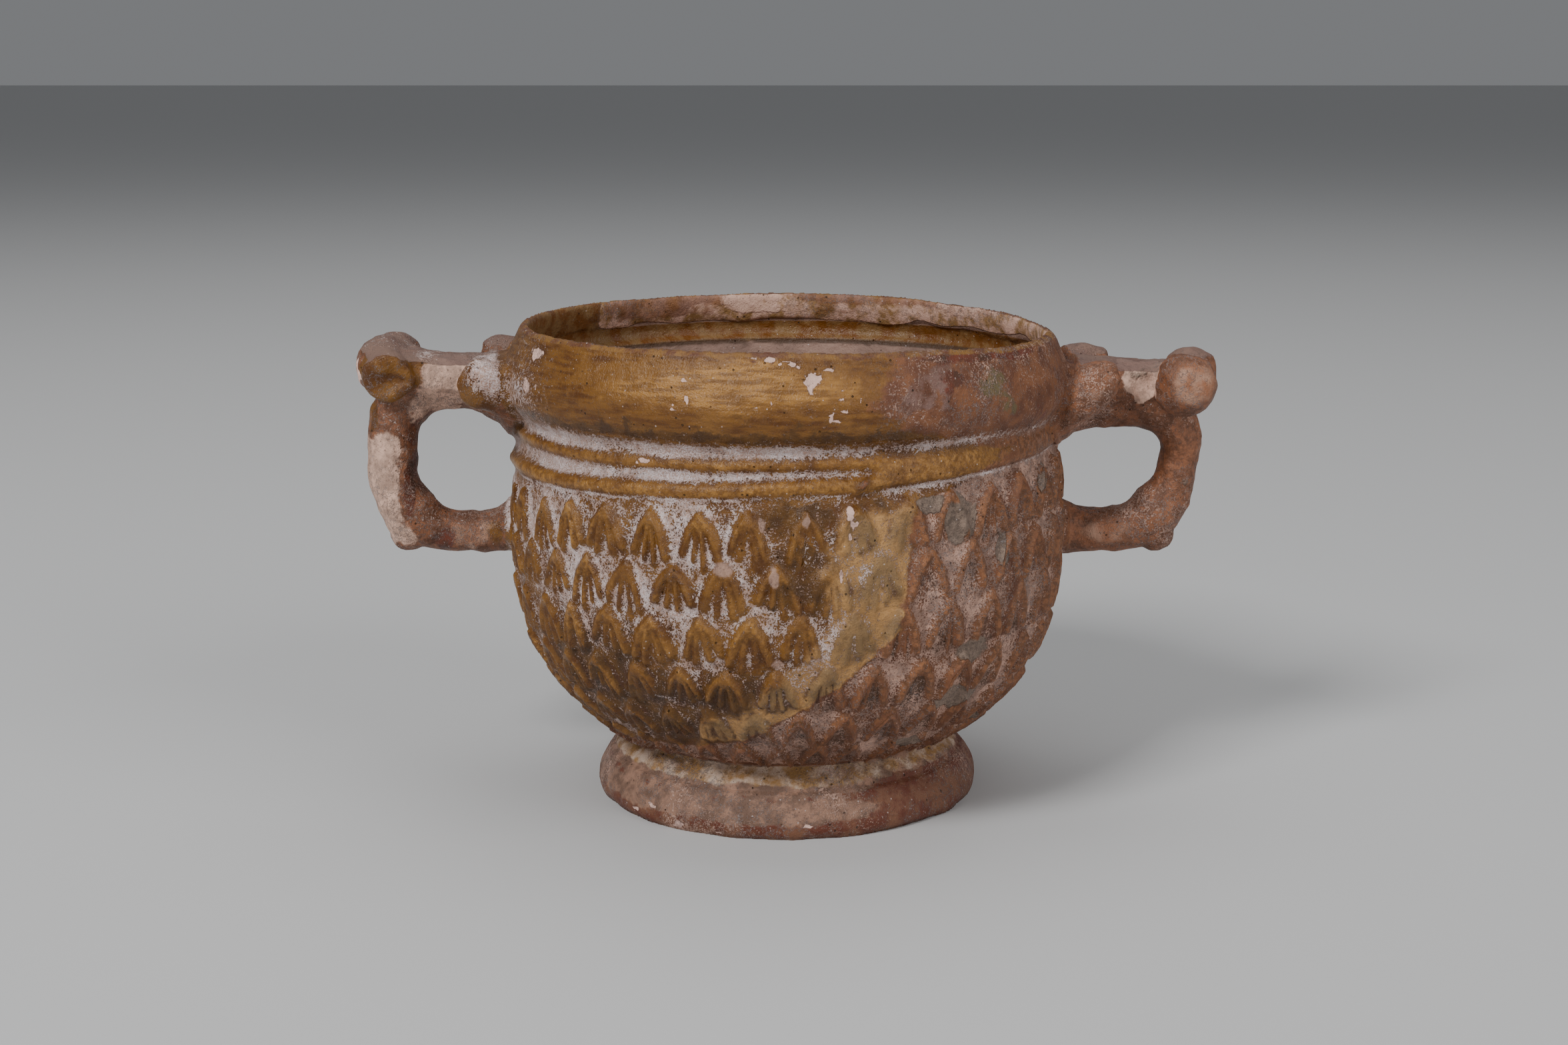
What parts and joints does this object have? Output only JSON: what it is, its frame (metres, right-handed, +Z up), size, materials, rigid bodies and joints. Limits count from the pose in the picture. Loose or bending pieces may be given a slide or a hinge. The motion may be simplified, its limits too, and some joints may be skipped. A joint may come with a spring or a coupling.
{
  "type": "skyphos",
  "caption": "Deep footed drinking cup with a thumb-plate ring handle on each side and pine-cone scales in relief round the bowl.",
  "frame": {"origin": "on the resting plane under the cup's turning axis, which is the middle of the part's underside to within a millimetre", "axes": "+Z up along the turning axis; the handles stand out along -X and +X; -Y is the side that the picture shows"},
  "size_m": [0.1591, 0.103, 0.0877],
  "materials": {
    "glazed_clay": "worn amber-brown lead glaze over fired clay"
  },
  "bodies": {
    "root": {"skyphos": "glazed_clay"}
  },
  "joints": []
}
